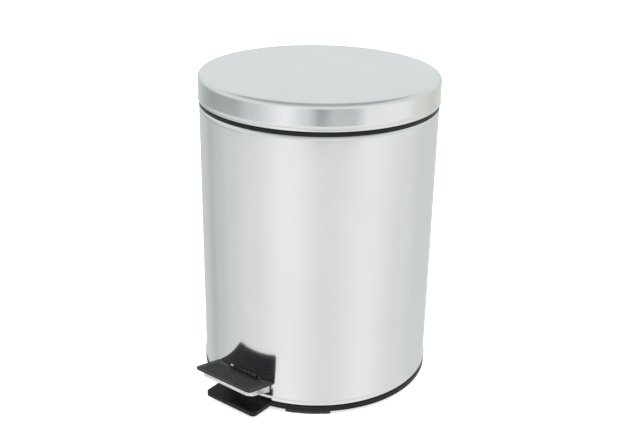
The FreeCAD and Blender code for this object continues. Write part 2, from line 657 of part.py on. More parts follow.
GRIP_RIBS = 6
RIB_ROOT = 0.6                         # depth to which the tread's cross ribs reach below its top
SHELL_PLAY = 0.5                       # gap between the tread and the shell


def make_pedal_tread():
    ribs = []
    for step in range(GRIP_RIBS):
        reach = f"(tread_reach - tread_round - grip_rib_pitch * {step})"
        rib = box("-(tread_half - tread_round)", "tread_half - tread_round", "0", "grip_rib_wide",
                  "0", f"grip_rib_proud + {RIB_ROOT}")
        rib.Placement.Rotation = FreeCAD.Rotation(FreeCAD.Vector(1, 0, 0), -value("tread_slope"))
        drive(rib, "Placement.Base.y", f"-{reach}")
        drive(rib, "Placement.Base.z", f"{tread_height(reach)} - {RIB_ROOT}")
        ribs.append(rib)
    border = common(tread_plan("0"), tread_slab("0", "tread_edge"))
    middle = common(tread_plan("tread_border"), tread_slab("tread_edge / 2", "tread_thick"))
    recess = common(lever_plan("-run_gap / 2", "0", TALL), tread_slab("tread_cover", "2 * tread_thick"))
    shell_way = rod_z(f"shell_radius + {SHELL_PLAY}", "0", TALL)
    screw_holes = [tread_screw_part("screw_radius", "-plate", "tread_screw_grip", x)
                   for x in TREAD_SCREW_X]
    return piece(cut(fuse(border, middle, *ribs), recess, shell_way, *screw_holes), "pedal_tread")


def make_tread_screws():
    screws = []
    for x in TREAD_SCREW_X:
        head = tread_screw_part("2.4 * screw_radius", "-2 * plate", "-plate", x)
        shank = tread_screw_part("screw_radius", f"-plate - {LAP}", "tread_screw_grip", x)
        screws.append(fuse(head, shank))
    return piece(group(*screws), "tread_screws")


def make_pivot_bushes():
    bushes = []
    for side in (-1, 1):
        inner, waist, outer = (side * value(text) for text in
                               ("lever_waist - plate", "lever_waist + run_gap",
                                "cheek_x - 4 * run_gap"))
        outside = fuse(rod_x("pivot_pin + bush_wall", *sorted((inner, outer)), "-pivot_y", "pivot_z"),
                       rod_x("2 * pivot_pin", *sorted((waist, outer)), "-pivot_y", "pivot_z"))
        bore = rod_x("pivot_pin + run_gap", f"-{PAST}", PAST, "-pivot_y", "pivot_z")
        bushes.append(cut(outside, bore))
    return piece(group(*bushes), "pivot_bushes")


def make_lever_pin():
    half = "(lever_tail + 0.4 * rod_pin)"
    return piece(pin_x("rod_pin", f"-{half}", half, ROD_Y, ROD_PIN_LOW), "lever_rod_pin")


# ---------------------------------------------------------------- push rod and its guides

def make_push_rod():
    strip = box("-rod_thick / 2", "rod_thick / 2", f"{ROD_Y} - rod_wide / 2", f"{ROD_Y} + rod_wide / 2",
                ROD_PIN_LOW, ROD_PIN_HIGH)
    ends = [rod_x("rod_wide / 2", "-rod_thick / 2", "rod_thick / 2", ROD_Y, z)
            for z in (ROD_PIN_LOW, ROD_PIN_HIGH)]
    low_slot = box("-rod_thick", "rod_thick", f"{ROD_Y} - rod_pin - foot_slot_front",
                   f"{ROD_Y} + rod_pin + foot_slot_back", f"{ROD_PIN_LOW} - rod_pin - foot_slot_high",
                   f"{ROD_PIN_LOW} + rod_pin + foot_slot_high")
    high_hole = rod_x("rod_pin", "-rod_thick", "rod_thick", ROD_Y, ROD_PIN_HIGH)
    return piece(cut(fuse(strip, *ends), low_slot, high_hole), "push_rod")


def make_rod_cross_pin():
    half = f"({ARM_OUT} + 0.3 * rod_pin)"
    return piece(pin_x("rod_pin", f"-{half}", half, ROD_Y, ROD_PIN_HIGH), "rod_cross_pin")


GUIDE_LEVELS = ("guide_low", "guide_high")
GUIDE_RIVET_X = ("-guide_rivet_x", "guide_rivet_x")


def guide_rivet_places():
    return [(x, f"{level} + guide_tall / 2") for level in GUIDE_LEVELS for x in GUIDE_RIVET_X]


def make_rod_guides():
    guides = []
    for level in GUIDE_LEVELS:
        top = f"{level} + guide_tall"
        block = box("-guide_half", "guide_half", "guide_front", BEHIND[1], level, top)
        inside = rod_z(f"{SHELL_INSIDE} - run_gap", f"{level} - {PAST}", f"{top} + {PAST}")
        way = box("-rod_thick / 2 - rod_play", "rod_thick / 2 + rod_play",
                  f"{ROD_Y} - rod_wide / 2 - rod_play", f"{ROD_Y} + rod_wide / 2 + rod_play",
                  f"{level} - {PAST}", f"{top} + {PAST}")
        holes = [rod_y("guide_rivet + run_gap", "guide_front + guide_rivet_deep", BEHIND[1], x,
                       f"{level} + guide_tall / 2") for x in GUIDE_RIVET_X]
        guides.append(cut(common(block, inside), way, *holes))
    return piece(group(*guides), "rod_guides")


def make_guide_rivets():
    rivets = []
    for x, z in guide_rivet_places():
        shank = rod_y("guide_rivet", "guide_front + guide_rivet_deep + sheet",
                      f"shell_radius + {LAP}", x, z)
        head = rod_y("2 * guide_rivet", "shell_radius + run_gap", "shell_radius + guide_rivet_head", x, z)
        rivets.append(fuse(shank, head))
    return piece(group(*rivets), "guide_rivets")


# ---------------------------------------------------------------- hinge

BRACKET_RIVETS = tuple((turn, height) for turn in (-8.6, 8.6) for height in (225.6, 232.8))
LID_RIVETS = tuple((turn, height) for turn in (-6.8, 6.8) for height in (260.5, 268.5))
BRACKET_SHANK, LID_SHANK = "1.5", "1.4"
RIVET_HEAD, RIVET_HEAD_RADIUS = "1.2", "2.7"         # the rivets' outer heads
RIVET_TAIL, RIVET_TAIL_RADIUS = "0.95", "2.4"        # their upset tails inside


def curved_plate(inner, x_half, z0, z1):
    """A formed plate behind the shell, concentric with it."""
    ring = tube_z(inner, f"({inner}) - plate", z0, z1)
    ring.Base.setExpression("Radius", bound(f"({inner}) + plate"))
    ring.Tool.setExpression("Radius", bound(inner))
    return common(ring, box(f"-{x_half}", x_half, *BEHIND, z0, z1))


def rear_rivets(places, inner, outer, shank):
    """Rivets through a curved wall, one per turn about Z and height, with a head on each side."""
    rivets = []
    for angle, height in places:
        stem = rod_y(shank, f"({inner}) - {LAP}", f"({outer}) + {LAP}", "0", height)
        outside = rod_y(RIVET_HEAD_RADIUS, outer, f"({outer}) + {RIVET_HEAD}", "0", height)
        inside = rod_y(RIVET_TAIL_RADIUS, f"({inner}) - {RIVET_TAIL}", f"({inner}) - run_gap", "0", height)
        rivets.append(swing(fuse(stem, outside, inside), angle))
    return rivets


def rivet_holes(places, radius):
    return [swing(rod_y(radius, *BEHIND, "0", height), angle) for angle, height in places]


def make_hinge_bracket():
    back = curved_plate("shell_radius + seat_gap", "bracket_plate_half", "bracket_low", "bracket_high")
    slot = box("-slot_half", "slot_half", BEHIND[0], "ear_nose + 1", "hinge_z - slot_drop",
               f"hinge_z + {PAST}")
    ears = []
    for side in (-1, 1):
        x0 = min(side * value("ear_x"), side * value(EAR_OUT))
        web = plate("YZ_Plane", [
            ("ear_root", "ear_foot"), ("ear_nose", "ear_foot"),
            ("hinge_y + ear_radius", "hinge_z - ear_drop"), ("hinge_y + ear_radius", "hinge_z"),
            ("hinge_y - ear_radius", "hinge_z"), ("ear_root", "ear_back")], "arm_thick", start=x0)
        eye = rod_x("ear_radius", x0, f"{x0} + arm_thick", "hinge_y", "hinge_z")
        ears.append(fuse(web, eye))
    inside = rod_z("shell_radius + seat_gap", f"bracket_low - {PAST}", f"hinge_z + {PAST}")
    hole = rod_x("hinge_pin", f"-{PAST}", PAST, "hinge_y", "hinge_z")
    solid = cut(fuse(back, *ears), slot, inside, hole, *rivet_holes(BRACKET_RIVETS, BRACKET_SHANK))
    return piece(solid, "hinge_bracket")


def make_hinge_pin():
    stem = rod_x("hinge_pin", f"-({EAR_OUT} + pin_head_thick / 2)", f"{EAR_OUT} + pin_end",
                 "hinge_y", "hinge_z")
    head = rod_x("pin_head", f"-({EAR_OUT} + pin_head_thick)", f"-{EAR_OUT}", "hinge_y", "hinge_z")
    return piece(fuse(stem, head), "hinge_pin")


def make_hinge_pin_clip():
    return piece(tube_x("clip_radius", "hinge_pin", EAR_OUT, f"{EAR_OUT} + clip_thick",
                        "hinge_y", "hinge_z"), "hinge_pin_clip")


def make_hinge_washers():
    washers = []
    for side in (-1, 1):
        x0, x1 = sorted((side * value(f"{ARM_OUT} + washer_play"), side * value("ear_x - run_gap")))
        washers.append(tube_x("washer_radius", "hinge_pin + run_gap", x0, x1, "hinge_y", "hinge_z"))
    return piece(group(*washers), "hinge_washers")


def crank_bar(x0, thick, near, far, half):
    """A round-ended bar along the crank, between two radii from the hinge axis."""
    bar = doc.addObject("Part::Box", "Bar")
    drive(bar, "Length", thick)
    drive(bar, "Width", f"({far}) - ({near})")
    drive(bar, "Height", f"2 * ({half})")
    ends = [rod_x(half, x0, f"({x0}) + {thick}",
                  f"hinge_y - ({radius}) * cos(crank_angle)", f"hinge_z - ({radius}) * sin(crank_angle)")
            for radius in (near, far)]
    bar.Placement.Rotation = FreeCAD.Rotation(FreeCAD.Vector(1, 0, 0), value("crank_angle"))
    drive(bar, "Placement.Base.x", x0)
    drive(bar, "Placement.Base.y",
          f"hinge_y - ({far}) * cos(crank_angle) + ({half}) * sin(crank_angle)")
    drive(bar, "Placement.Base.z",
          f"hinge_z - ({far}) * sin(crank_angle) - ({half}) * cos(crank_angle)")
    return fuse(bar, *ends)


def make_lid_hinge_arm():
    back = curved_plate("lid_radius + seat_gap", "arm_plate_half", "arm_low", "arm_high")
    skin = rod_z("lid_radius + seat_gap", "hinge_z", f"hinge_z + {PAST}")
    arms = []
    slots = []
    level_radius = "crank * cos(crank_angle)"
    for side in (-1, 1):
        x0 = min(side * value("arm_x"), side * value(ARM_OUT))
        web = plate("YZ_Plane", [
            ("lid_radius - 2 * sheet", "arm_foot"), ("lid_radius - 2 * sheet", "arm_head"),
            ("arm_knee", "arm_head"), ("hinge_y + eye_radius", "hinge_z + arm_back"),
            ("hinge_y + eye_radius", "hinge_z"), ("hinge_y - arm_neck", "hinge_z")],
            "arm_thick", start=x0)
        eye = rod_x("eye_radius", x0, f"{x0} + arm_thick", "hinge_y", "hinge_z")
        arms += [cut(web, skin), eye, crank_bar(x0, "arm_thick", "0", "crank", "crank_half")]
        slots.append(crank_bar(x0 - 1, "(arm_thick + 2)", f"{level_radius} + 2 * run_gap",
                               "crank - 2 * run_gap", "rod_pin + crank_play"))
    hole = rod_x("hinge_pin + run_gap", f"-{PAST}", PAST, "hinge_y", "hinge_z")
    solid = cut(fuse(back, *arms), hole, *slots, *rivet_holes(LID_RIVETS, LID_SHANK))
    return piece(solid, "lid_hinge_arm")


# ---------------------------------------------------------------- lid

def make_lid_shell():
    cap = turned([
        ("0", LID_TOP), ("lid_radius", LID_TOP), ("lid_radius", LID_FOOT),
        ("lid_radius - 2 * sheet", LID_FOOT), ("lid_radius - 2 * sheet", f"{LID_FOOT} + hem_high"),
        ("lid_radius - sheet", f"{LID_FOOT} + hem_high"), ("lid_radius - sheet", f"{LID_TOP} - sheet"),
        ("0", f"{LID_TOP} - sheet")])
    round_edges(cap, "lid_round", level_at(LID_TOP))
    round_edges(cap, "lid_round - sheet", level_at(f"{LID_TOP} - sheet"))
    hem = bead("lid_radius", "hem_proud", "hem_high", f"{LID_FOOT} + hem_high / 2")
    return piece(cut(fuse(cap, hem), *rivet_holes(LID_RIVETS, LID_SHANK)), "lid_shell")


BUMPER_ANGLES = (-140, -90, -40)       # about Z, from +X


def make_lid_bumpers():
    foot, top = "shell_top + flange_high", f"{LID_FOOT} - bumper_gap"
    inner, outer = "shell_radius - bumper_in", "shell_radius - bumper_out"
    pads = []
    for angle in BUMPER_ANGLES:
        pad = turned([(inner, foot), (outer, foot), (outer, top), (inner, top)],
                     sweep=value("bumper_sweep"))
        pads.append(swing(pad, angle))
    return piece(group(*pads), "lid_bumpers")


# ---------------------------------------------------------------- bucket and bail

BAIL_EYE_X = "(bucket_rim + bail_wire + 0.9)"
BAIL_LEVEL = "(bucket_top + grip_radius + 0.3)"
BAIL_BOW = "(bucket_rim - 1)"


def make_inner_bucket():
    mouth_in = "bucket_mouth - bucket_wall"
    cup = turned([
        ("0", "seat_top"), ("bucket_foot", "seat_top"), ("bucket_mouth", "bucket_top - bucket_rim_deep"),
        ("bucket_rim", "bucket_top - bucket_rim_deep"), ("bucket_rim", "bucket_top"),
        (mouth_in, "bucket_top"),
        ("bucket_foot - bucket_wall", "seat_top + bucket_wall"), ("0", "seat_top + bucket_wall")])
    round_edges(cup, "bucket_round", level_at("seat_top"))
    lugs = []
    for side in (-1, 1):
        x0, x1 = sorted((side * value("bucket_mouth - lug_in"), side * value("bucket_rim")))
        lugs.append(box(x0, x1, "-lug_half", "lug_half", "bail_pivot_z - lug_half", "bucket_top - lug_top"))
    eyes = rod_x("bail_wire + bail_play", "-shell_radius", "shell_radius", "0", "bail_pivot_z")
    return piece(cut(fuse(cup, *lugs), eyes), "inner_bucket")


def make_bail_wire():
    """Wire bent up from its eyes, then forward over the rim in a half circle."""
    eye_x, eye_in = value(BAIL_EYE_X), value("bucket_mouth - bucket_wall - bail_end")
    low, high, bow = value("bail_pivot_z"), value(BAIL_LEVEL), value(BAIL_BOW)
    bend, wire = value("bail_bend"), value("bail_wire")
    reach = math.acos(bow / eye_x)        # where a line from the eye meets the bow at a tangent
    bow_end = FreeCAD.Vector(bow * math.cos(reach), -bow * math.sin(reach), high)
    corners = [FreeCAD.Vector(eye_in, 0, low), FreeCAD.Vector(eye_x, 0, low),
               FreeCAD.Vector(eye_x, 0, high), bow_end]
    edges = []
    start = corners[0]
    for corner, after in zip(corners[1:-1], corners[2:]):
        into = (corner - start).normalize()
        out = (after - corner).normalize()
        half_turn = into.getAngle(out) / 2
        first = corner - into * bend * math.tan(half_turn)
        last = corner + out * bend * math.tan(half_turn)
        middle = corner + (out - into).normalize() * (bend / math.cos(half_turn) - bend)
        edges += [Part.LineSegment(start, first).toShape(), Part.Arc(first, middle, last).toShape()]
        start = last
    edges.append(Part.LineSegment(start, bow_end).toShape())
    mirrored = [edge.mirror(FreeCAD.Vector(0, 0, 0), FreeCAD.Vector(1, 0, 0)) for edge in edges]
    other_end = FreeCAD.Vector(-bow_end.x, bow_end.y, high)
    arch = Part.Arc(bow_end, FreeCAD.Vector(0, -bow, high), other_end).toShape()
    path = Part.Wire(Part.__sortEdges__(edges + [arch] + mirrored))
    circle = Part.Circle(corners[0], FreeCAD.Vector(1, 0, 0), wire)
    item = doc.addObject("Part::Feature", "BailWire")
    item.Shape = path.makePipeShell([Part.Wire(circle.toShape())], True, True)
    return piece(item, "bail_wire")


def make_bail_grip():
    """A sleeve bent round the front of the bail."""
    bow, half_turn, radius = value(BAIL_BOW), value("grip_turn"), value("grip_radius")
    item = doc.addObject("Part::Feature", "BailGrip")
    ring = Part.makeTorus(bow, radius)
    core = Part.makeTorus(bow, value("bail_wire"))
    wedge = Part.makeCylinder(2 * bow, 4 * radius, FreeCAD.Vector(0, 0, -2 * radius),
                              FreeCAD.Vector(0, 0, 1), 2 * half_turn)
    wedge.rotate(FreeCAD.Vector(0, 0, 0), FreeCAD.Vector(0, 0, 1), -90 - half_turn)
    item.Shape = ring.cut(core).common(wedge)
    item.Placement.Base = FreeCAD.Vector(0, 0, value(BAIL_LEVEL))
    return piece(item, "bail_grip")


# ---------------------------------------------------------------- assembly

for make in (make_outer_shell, make_top_rim, make_base_moulding, make_feet, make_fulcrum_bracket,
             make_bracket_screws, make_fulcrum_pin, make_pin_clips, make_pedal_lever,
             make_pedal_tread, make_tread_screws, make_pivot_bushes, make_lever_pin, make_push_rod,
             make_rod_cross_pin, make_rod_guides, make_guide_rivets, make_hinge_bracket,
             make_hinge_pin, make_hinge_pin_clip, make_hinge_washers, make_lid_hinge_arm,
             make_lid_shell, make_lid_bumpers, make_inner_bucket, make_bail_wire, make_bail_grip):
    make()
piece(group(*rear_rivets(BRACKET_RIVETS, SHELL_INSIDE, "shell_radius + seat_gap + plate",
                         BRACKET_SHANK)), "bracket_rivets")
piece(group(*rear_rivets(LID_RIVETS, "lid_radius - sheet", "lid_radius + seat_gap + plate",
                         LID_SHANK)), "lid_rivets")

doc.recompute()
failed = [item.Label for item in doc.Objects if "Invalid" in item.State or "Error" in item.State]
if failed:
    raise RuntimeError("failed objects: " + ", ".join(failed))
for item in PIECES:
    if item.Shape.isNull() or not item.Shape.isValid():
        raise RuntimeError("bad shape: " + item.Label)

os.makedirs("parts", exist_ok=True)
for item in PIECES:
    item.Shape.exportStep(f"parts/{item.Label}.step")
    bounds = item.Shape.BoundBox
    print(f"{item.Label:18s} solids {len(item.Shape.Solids):2d}  volume {item.Shape.Volume:10.1f}  "
          f"x {bounds.XMin:7.1f} {bounds.XMax:7.1f}  y {bounds.YMin:7.1f} {bounds.YMax:7.1f}  "
          f"z {bounds.ZMin:7.1f} {bounds.ZMax:7.1f}")
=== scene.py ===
import json
import math

import bmesh
import bpy
from mathutils import Matrix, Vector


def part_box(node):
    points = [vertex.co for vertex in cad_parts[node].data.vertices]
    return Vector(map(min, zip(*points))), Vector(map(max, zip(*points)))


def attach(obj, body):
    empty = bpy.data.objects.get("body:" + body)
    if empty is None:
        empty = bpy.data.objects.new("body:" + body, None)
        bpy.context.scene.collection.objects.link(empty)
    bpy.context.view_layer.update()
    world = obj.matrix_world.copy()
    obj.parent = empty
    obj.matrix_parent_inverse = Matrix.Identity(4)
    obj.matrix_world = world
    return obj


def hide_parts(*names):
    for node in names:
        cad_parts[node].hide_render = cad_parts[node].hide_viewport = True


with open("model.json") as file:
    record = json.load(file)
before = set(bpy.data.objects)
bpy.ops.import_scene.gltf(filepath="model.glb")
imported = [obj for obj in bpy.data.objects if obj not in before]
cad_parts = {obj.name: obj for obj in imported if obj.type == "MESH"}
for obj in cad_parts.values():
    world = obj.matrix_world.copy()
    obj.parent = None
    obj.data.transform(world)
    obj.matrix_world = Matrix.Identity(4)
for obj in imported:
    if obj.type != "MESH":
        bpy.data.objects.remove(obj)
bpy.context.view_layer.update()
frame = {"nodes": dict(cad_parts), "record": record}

# A round steel pedal bin: sizes are in metres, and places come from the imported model's boxes.
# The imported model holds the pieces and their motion. Here the steel skins, the top rim and the bucket
# are rebuilt as clean meshes, the other pieces get softened edges, and all get their finishes.
MM = 0.001
NODES = frame["nodes"]
SLOT_OF = {part["node"]: part["material_slot"] for part in frame["record"]["subparts"]}

RIM_LOW, RIM_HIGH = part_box("top_rim")
SHELL_LOW, SHELL_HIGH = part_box("outer_shell")
LID_LOW, LID_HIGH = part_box("lid_shell")
BUCKET_LOW, BUCKET_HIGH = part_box("inner_bucket")

SHEET = 0.5 * MM                          # steel sheet of the shell and the lid
SHELL_RADIUS = RIM_HIGH.x                 # the rim's flange is flush with the shell
AXIS_Y = RIM_LOW.y + SHELL_RADIUS


def arc(middle_r, middle_z, radius, first, last, steps):
    """Points (r, z) along an arc in a profile, angles in degrees from the outward direction."""
    turns = [math.radians(first + (last - first) * step / steps) for step in range(steps + 1)]
    return [(middle_r + radius * math.cos(turn), middle_z + radius * math.sin(turn)) for turn in turns]


def spread(start, end, step):
    """Evenly spaced values between two ends, both left out."""
    count = max(1, round(abs(end - start) / step))
    return [start + (end - start) * index / count for index in range(1, count)]


def add_object(name, bm):
    mesh = bpy.data.meshes.new(name)
    bmesh.ops.recalc_face_normals(bm, faces=bm.faces)
    bm.to_mesh(mesh)
    bm.free()
    mesh.shade_smooth()
    piece = bpy.data.objects.new(name, mesh)
    bpy.context.scene.collection.objects.link(piece)
    return piece


# ---------------------------------------------------------------- camera, light and floor

CAMERA_TURN = math.radians(36.9)      # round the bin, from straight in front of the pedal
CAMERA_AWAY = 0.7822
CAMERA_HEIGHT = 0.4704
CAMERA_PITCH = math.radians(22.69)
CAMERA_YAW = math.radians(0.08)
CAMERA_ROLL = math.radians(1.08)
CAMERA_LENS, SENSOR_WIDTH = 53.2, 36  # in mm

# The studio as the steel mirrors it: (direction, brightness, blueness), with directions in degrees
# about the bin, 0 towards the camera and plus to its right. The upright wall of the bin mirrors the
# table close by, and the lid's skirt mirrors the floor just beyond the table's edge, which fades into
# the table's light further out.
TABLE_LIGHT = [(-140, 0.71, 0.97), (-126, 0.63, 0.97), (-112, 0.72, 0.97), (-92, 0.83, 0.97),
               (-65, 0.93, 0.98), (-28, 1.11, 0.98), (10, 0.945, 0.97), (50, 1.075, 0.985),
               (90, 0.92, 0.97), (120, 0.82, 0.97), (150, 0.76, 0.98)]
ROOM_LIGHT = [(-160, 0.72, 0.99), (-110, 0.47, 1.0), (-82, 0.50, 1.03), (-62, 0.74, 1.03),
              (-28, 1.13, 1.02), (-12, 0.85, 1.03), (2, 0.42, 1.06), (14, 0.66, 1.01),
              (29, 0.64, 1.03), (44, 1.02, 1.01), (78, 1.08, 0.99), (104, 0.88, 0.92),
              (126, 0.76, 0.91), (150, 0.78, 0.97)]
REDNESS, DIM_REDNESS = 0.985, 0.15    # red against green in full light, and the loss of it in the dark
TABLE_REACH = 0.90
FADE_START, FADE_END = 1.25, 1.9
ROOM_REACH, ROOM_LIFT = 7.5, 0.2 * MM
RING_SEGMENTS = 96
FLOOR_HOLE = 0.1 * MM                 # the floor is a ring too, closed but for this
FLOOR_SHADE, FLOOR_ROUGH, FLOOR_GLOW = 0.80, 0.9, 0.62
SKY_STRENGTH = 1.15
HORIZON_LOW, HORIZON_HIGH = -0.05, 0.25     # the table gives way to the wall between these
BACK_WALL, WALL_TOP = (0.845, 0.90, 0.905), 0.55
ZENITH, ZENITH_FOOT = (0.50, 0.53, 0.54), 0.85
KEY_ENERGY = 0.7
KEY_SPREAD, KEY_TILT, KEY_TURN = math.radians(50), math.radians(35), math.radians(20)
COLOUR_A, COLOUR_B, COLOUR_OUT = 6, 7, 2    # the colour sockets of a Mix node
NUMBER_A, NUMBER_B = 2, 3                   # and its number sockets


def add_camera():
    camera = bpy.data.objects.new("camera", bpy.data.cameras.new("camera"))
    bpy.context.scene.collection.objects.link(camera)
    camera.data.lens = CAMERA_LENS
    camera.data.sensor_width = SENSOR_WIDTH
    stand = Matrix.Translation((0, AXIS_Y, 0)) @ Matrix.Rotation(CAMERA_TURN, 4, "Z")
    spot = Matrix.Translation((0, -CAMERA_AWAY, CAMERA_HEIGHT))
    aim = (Matrix.Rotation(-CAMERA_YAW, 4, "Z") @ Matrix.Rotation(math.pi / 2 - CAMERA_PITCH, 4, "X")
           @ Matrix.Rotation(CAMERA_ROLL, 4, "Z"))
    camera.matrix_world = stand @ spot @ aim
    bpy.context.scene.camera = camera


def flat_ring(name, inner, outer, height):
    """A level ring about the bin's axis, as part of the stage."""
    bm = bmesh.new()
    turns = [math.tau * index / RING_SEGMENTS for index in range(RING_SEGMENTS)]
    near, far = ([bm.verts.new((radius * math.sin(turn), AXIS_Y - radius * math.cos(turn), height))
                  for turn in turns] for radius in (inner, outer))
    for index in range(RING_SEGMENTS):
        bm.faces.new([near[index - 1], far[index - 1], far[index], near[index]])
    ring = add_object(name, bm)
    return ring


def ring_of_light(tree, direction, stops):
    """Nodes that turn a direction into a light, by its angle round the upright axis."""
    turned = tree.nodes.new("ShaderNodeVectorRotate")
    turned.rotation_type = "Z_AXIS"
    turned.inputs["Angle"].default_value = -CAMERA_TURN
    parts = tree.nodes.new("ShaderNodeSeparateXYZ")
    behind = math_node(tree, "MULTIPLY", parts.outputs["Y"], -1.0)
    angle = math_node(tree, "ARCTAN2", parts.outputs["X"], behind.outputs[0])
    share = math_node(tree, "MULTIPLY_ADD", angle.outputs[0], 1 / math.tau, 0.5)
    ramp = tree.nodes.new("ShaderNodeValToRGB")
    ramp.color_ramp.interpolation = "EASE"
    while len(ramp.color_ramp.elements) < len(stops):
        ramp.color_ramp.elements.new(0.5)
    for element, (degrees, light, blueness) in zip(ramp.color_ramp.elements, stops):
        redness = REDNESS - DIM_REDNESS * max(0.0, 1 - light)
        element.position = degrees / 360 + 0.5
        element.color = (light * redness, light, light * blueness, 1)
    tree.links.new(direction, turned.inputs["Vector"])
    tree.links.new(turned.outputs[0], parts.inputs[0])
    tree.links.new(share.outputs[0], ramp.inputs["Fac"])
    return ramp.outputs["Color"], parts.outputs["Z"]


def math_node(tree, operation, *values):
    """A Math node whose inputs are sockets or numbers."""
    node = tree.nodes.new("ShaderNodeMath")
    node.operation = operation
    for index, item in enumerate(values):
        if isinstance(item, bpy.types.NodeSocket):
            tree.links.new(item, node.inputs[index])
        else:
            node.inputs[index].default_value = item
    return node


def add_stage():
    """A white floor, and the ring of light that the lid's skirt sees in the floor's place."""
    floor = flat_ring("floor", FLOOR_HOLE, ROOM_REACH, 0.0)
    paper = bpy.data.materials.new("floor_paper")
    paper.use_nodes = True
    shader = paper.node_tree.nodes["Principled BSDF"]
    shader.inputs["Base Color"].default_value = (FLOOR_SHADE, FLOOR_SHADE, FLOOR_SHADE, 1)
    shader.inputs["Roughness"].default_value = FLOOR_ROUGH
    shader.inputs["Specular IOR Level"].default_value = 0.0
    shader.inputs["Emission Color"].default_value = (1, 1, 1, 1)
    shader.inputs["Emission Strength"].default_value = FLOOR_GLOW
    floor.data.materials.append(paper)
    floor.visible_glossy = False

    room = flat_ring("room_light", TABLE_REACH, ROOM_REACH, ROOM_LIFT)
    glow = bpy.data.materials.new("room_glow")
    glow.use_nodes = True
    tree = glow.node_tree
    tree.nodes.remove(tree.nodes["Principled BSDF"])
    place = tree.nodes.new("ShaderNodeTexCoord")
    centred = tree.nodes.new("ShaderNodeVectorMath")
    centred.operation = "SUBTRACT"
    centred.inputs[1].default_value = (0, AXIS_Y, 0)
    tree.links.new(place.outputs["Object"], centred.inputs[0])
    near_light, _ = ring_of_light(tree, centred.outputs[0], ROOM_LIGHT)
    far_light, _ = ring_of_light(tree, centred.outputs[0], TABLE_LIGHT)
    away = tree.nodes.new("ShaderNodeVectorMath")
    away.operation = "LENGTH"
    tree.links.new(centred.outputs[0], away.inputs[0])
    fade = tree.nodes.new("ShaderNodeMapRange")
    fade.inputs["From Min"].default_value = FADE_START
    fade.inputs["From Max"].default_value = FADE_END
    tree.links.new(away.outputs["Value"], fade.inputs["Value"])
    blend = tree.nodes.new("ShaderNodeMix")
    blend.data_type = "RGBA"
    tree.links.new(fade.outputs[0], blend.inputs["Factor"])
    tree.links.new(near_light, blend.inputs[COLOUR_A])
    tree.links.new(far_light, blend.inputs[COLOUR_B])
    emission = tree.nodes.new("ShaderNodeEmission")
    tree.links.new(blend.outputs[COLOUR_OUT], emission.inputs["Color"])
    tree.links.new(emission.outputs[0], tree.nodes["Material Output"].inputs["Surface"])
    room.data.materials.append(glow)
    room.visible_camera = False
    room.visible_diffuse = False
    room.visible_shadow = False


def add_light():
    """An even white sky; mirror-like surfaces see the table, the walls and the ceiling instead."""
    world = bpy.data.worlds.new("studio")
    bpy.context.scene.world = world
    world.use_nodes = True
    tree = world.node_tree
    sky = tree.nodes["Background"]
    sky.inputs["Color"].default_value = (1.0, 1.0, 1.0, 1)
    sky.inputs["Strength"].default_value = SKY_STRENGTH

    place = tree.nodes.new("ShaderNodeTexCoord")
    table, height = ring_of_light(tree, place.outputs["Generated"], TABLE_LIGHT)
    above = tree.nodes.new("ShaderNodeValToRGB")
    above.color_ramp.interpolation = "EASE"
    above.color_ramp.elements[0].position = WALL_TOP
    above.color_ramp.elements[0].color = (*BACK_WALL, 1)
    above.color_ramp.elements[1].position = ZENITH_FOOT
    above.color_ramp.elements[1].color = (*ZENITH, 1)
    tree.links.new(height, above.inputs["Fac"])
    rise = tree.nodes.new("ShaderNodeMapRange")
    rise.inputs["From Min"].default_value = HORIZON_LOW
    rise.inputs["From Max"].default_value = HORIZON_HIGH
    tree.links.new(height, rise.inputs["Value"])
    room = tree.nodes.new("ShaderNodeMix")
    room.data_type = "RGBA"
    tree.links.new(rise.outputs[0], room.inputs["Factor"])
    tree.links.new(table, room.inputs[COLOUR_A])
    tree.links.new(above.outputs["Color"], room.inputs[COLOUR_B])
    mirrored = tree.nodes.new("ShaderNodeBackground")
    tree.links.new(room.outputs[COLOUR_OUT], mirrored.inputs["Color"])
    ray = tree.nodes.new("ShaderNodeLightPath")
    choose = tree.nodes.new("ShaderNodeMixShader")
    tree.links.new(ray.outputs["Is Glossy Ray"], choose.inputs[0])
    tree.links.new(sky.outputs[0], choose.inputs[1])
    tree.links.new(mirrored.outputs[0], choose.inputs[2])
    tree.links.new(choose.outputs[0], tree.nodes["World Output"].inputs["Surface"])

    sun = bpy.data.objects.new("key", bpy.data.lights.new("key", "SUN"))
    sun.data.energy = KEY_ENERGY
    sun.data.angle = KEY_SPREAD
    sun.rotation_euler = (KEY_TILT, 0, CAMERA_TURN + KEY_TURN)
    sun.visible_glossy = False
    bpy.context.scene.collection.objects.link(sun)
    bpy.context.scene.view_settings.view_transform = "Standard"


# ---------------------------------------------------------------- finishes

NOISE_LOW, NOISE_HIGH = 0.3, 0.7      # nearly all of a noise lies between these


